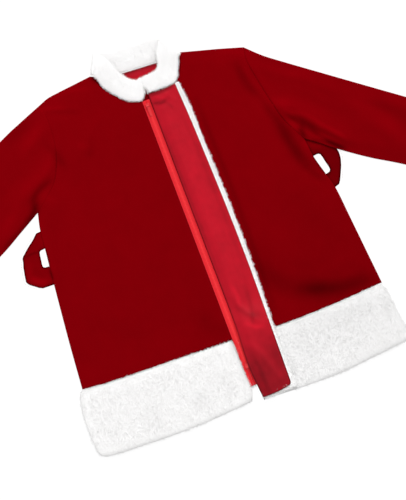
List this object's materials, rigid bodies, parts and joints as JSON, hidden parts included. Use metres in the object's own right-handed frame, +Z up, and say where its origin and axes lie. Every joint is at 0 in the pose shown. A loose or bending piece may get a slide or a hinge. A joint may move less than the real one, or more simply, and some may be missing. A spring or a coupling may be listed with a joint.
{
  "type": "santa suit jacket",
  "caption": "Red velvet santa suit jacket laid flat, with a fur collar and hem, a front zip and a folded-open fur flap.",
  "frame": {"origin": "centre of the jacket's box, on the surface it lies on", "axes": "+X along the hem towards the wearer's left sleeve, +Y from the hem up to the collar, +Z up out of the front"},
  "size_m": [1.48, 0.8722, 0.0216],
  "materials": {
    "velvet": "short-pile dark red velvet",
    "fur": "long-pile white faux fur",
    "satin": "crimson satin lining",
    "zip_tape": "bright red woven zip tape",
    "zip_metal": "red enamel"
  },
  "bodies": {
    "coat": {"back": "velvet", "front_right": "velvet", "front_left": "velvet", "sleeve_right": "velvet", "sleeve_left": "velvet", "belt_loop_right": "velvet", "belt_loop_left": "velvet", "hem_band_back": "fur", "hem_band_front_right": "fur", "hem_band_front_left": "fur", "collar": "fur", "flap_fur": "fur", "flap_lining": "satin", "back_neck_facing": "satin", "zip_tape_right": "zip_tape", "zip_tape_left": "zip_tape", "zip_slider": "zip_metal", "zip_box": "zip_metal"},
    "zip_pull": {"zip_pull": "zip_metal"}
  },
  "joints": [
    {"name": "zip_pull_hinge", "type": "hinge", "parent": "coat", "child": "zip_pull", "pos_m": [0.005, 0.28354, 0.012], "axis": [-1, 0, 0], "range_deg": [0, 150]}
  ]
}
